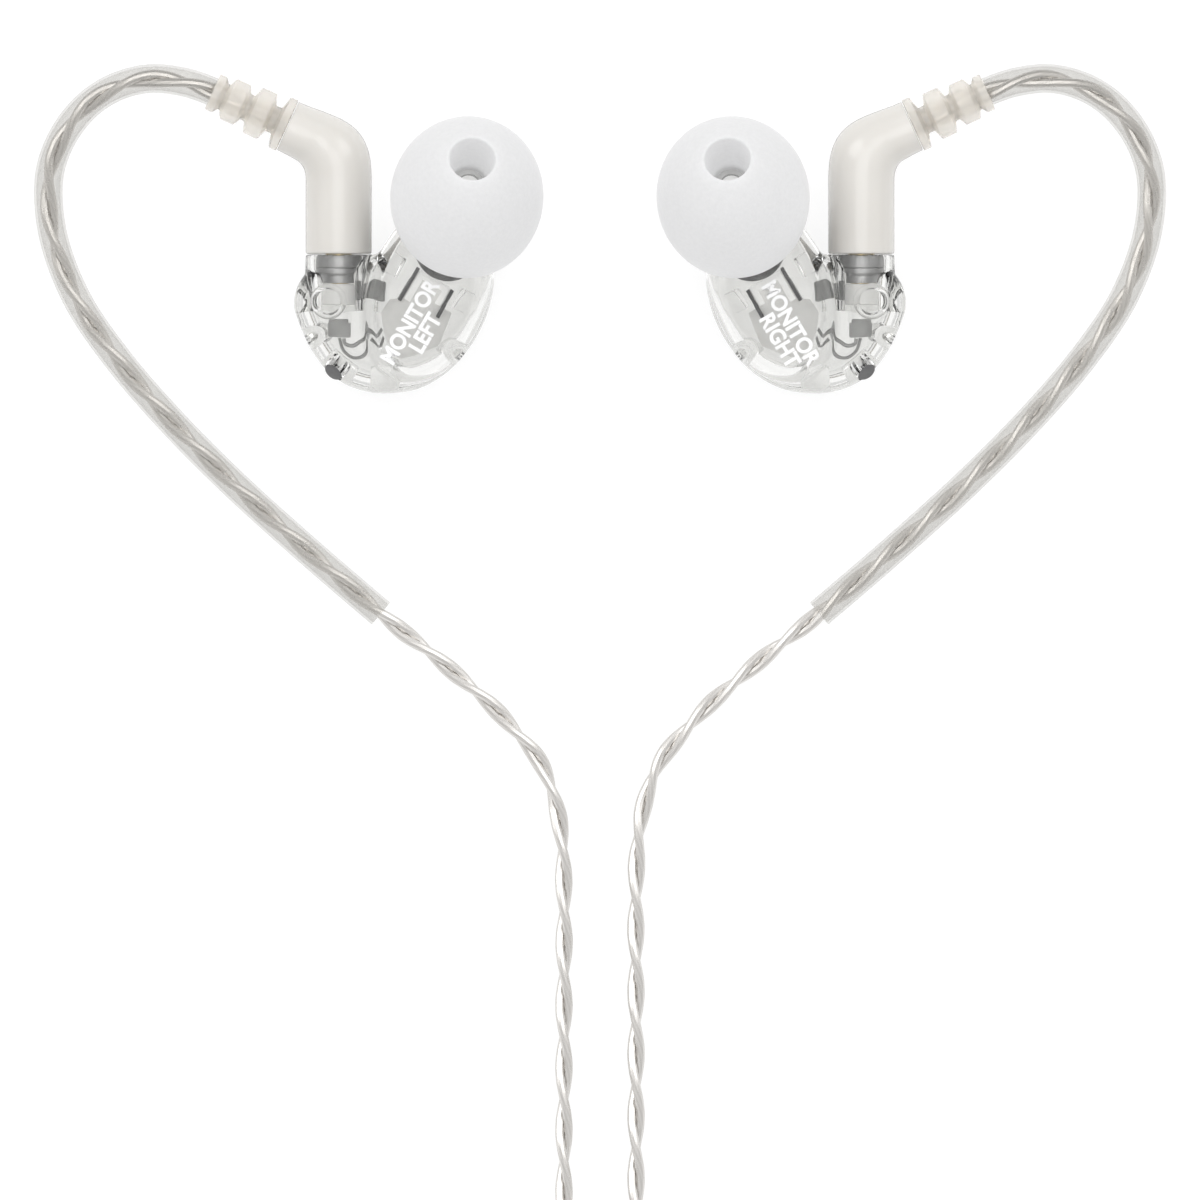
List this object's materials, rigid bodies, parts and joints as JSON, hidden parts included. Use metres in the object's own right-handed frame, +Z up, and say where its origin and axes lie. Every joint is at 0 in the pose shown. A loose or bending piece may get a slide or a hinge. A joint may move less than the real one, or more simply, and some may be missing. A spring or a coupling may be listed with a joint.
{
  "type": "in-ear monitors",
  "caption": "Clear-shelled in-ear monitors with over-ear hook sleeves, swivelling snap connectors, frosted tips and a twisted silver cable with its plug.",
  "frame": {"origin": "middle of the earphones' footprint on the surface they lie on, between the two hook sleeves", "axes": "+X towards the right earphone, +Y away from the plug, +Z up, the way the nozzles point"},
  "size_m": [0.0942, 0.1895, 0.023],
  "materials": {
    "clear_shell": "clear polished polycarbonate",
    "silicone": "frosted white soft silicone",
    "boot_plastic": "milky translucent warm white, glossy",
    "relief_plastic": "translucent warm soft plastic",
    "clear_sleeve": "clear flexible sleeve",
    "cable": "silver litz strands in a clear jacket",
    "gold": "gold plated",
    "steel": "satin grey metal",
    "dark_plastic": "dark grey matt",
    "pale_plastic": "pale grey matt",
    "white_plastic": "milky white, satin"
  },
  "bodies": {
    "cable": {"left_elbow_boot": "boot_plastic", "left_strain_relief": "relief_plastic", "left_hook_sleeve": "clear_sleeve", "left_branch_cord": "cable", "left_branch_coil": "cable", "left_branch_end": "cable", "left_connector_barrel": "gold", "left_connector_pin": "gold", "right_elbow_boot": "boot_plastic", "right_strain_relief": "relief_plastic", "right_hook_sleeve": "clear_sleeve", "right_branch_cord": "cable", "right_branch_coil": "cable", "right_branch_end": "cable", "right_connector_barrel": "gold", "right_connector_pin": "gold", "cable_splitter": "white_plastic", "trunk_lead": "cable", "trunk_coil": "cable", "trunk_end": "cable", "plug_relief": "white_plastic", "plug_body": "white_plastic", "plug_sleeve": "gold", "plug_ring": "gold", "plug_insulator": "dark_plastic", "plug_tip": "gold"},
    "left_ring": {"left_snap_ring": "gold"},
    "left_earphone": {"left_face_shell": "clear_shell", "left_nozzle_shell": "clear_shell", "left_driver_cup": "dark_plastic", "left_driver_diaphragm": "pale_plastic", "left_driver_magnet": "steel", "left_armature_driver": "steel", "left_driver_bracket": "pale_plastic", "left_upper_wire": "dark_plastic", "left_lower_wire": "dark_plastic", "left_nozzle_filter": "steel", "left_vent_mesh": "dark_plastic", "left_socket_terminal": "dark_plastic", "left_crossover_board": "dark_plastic", "left_connector_socket": "steel"},
    "left_tip": {"left_ear_tip": "silicone"},
    "right_ring": {"right_snap_ring": "gold"},
    "right_earphone": {"right_face_shell": "clear_shell", "right_nozzle_shell": "clear_shell", "right_driver_cup": "dark_plastic", "right_driver_diaphragm": "pale_plastic", "right_driver_magnet": "steel", "right_armature_driver": "steel", "right_driver_bracket": "pale_plastic", "right_upper_wire": "dark_plastic", "right_lower_wire": "dark_plastic", "right_nozzle_filter": "steel", "right_vent_mesh": "dark_plastic", "right_socket_terminal": "dark_plastic", "right_crossover_board": "dark_plastic", "right_connector_socket": "steel"},
    "right_tip": {"right_ear_tip": "silicone"},
    "slider": {"chin_slider": "white_plastic"}
  },
  "joints": [
    {"name": "left_swivel", "type": "hinge", "parent": "cable", "child": "left_ring", "pos_m": [-0.02175, 0.0054, 0.0047], "axis": [0, 1, 0], "continuous": true},
    {"name": "left_unplug", "type": "slide", "parent": "left_ring", "child": "left_earphone", "axis": [0, -1, 0], "range_m": [0, 0.006]},
    {"name": "left_tip_pull", "type": "slide", "parent": "left_earphone", "child": "left_tip", "axis": [0.0615, 0.4021, 0.9135], "range_m": [0, 0.008]},
    {"name": "right_swivel", "type": "hinge", "parent": "cable", "child": "right_ring", "pos_m": [0.02175, 0.0054, 0.0047], "axis": [0, 1, 0], "continuous": true},
    {"name": "right_unplug", "type": "slide", "parent": "right_ring", "child": "right_earphone", "axis": [0, -1, 0], "range_m": [0, 0.006]},
    {"name": "right_tip_pull", "type": "slide", "parent": "right_earphone", "child": "right_tip", "axis": [-0.0615, 0.4021, 0.9135], "range_m": [0, 0.008]},
    {"name": "chin_slide", "type": "slide", "parent": "cable", "child": "slider", "axis": [0, 1, 0], "range_m": [-0.006, 0.026]}
  ]
}
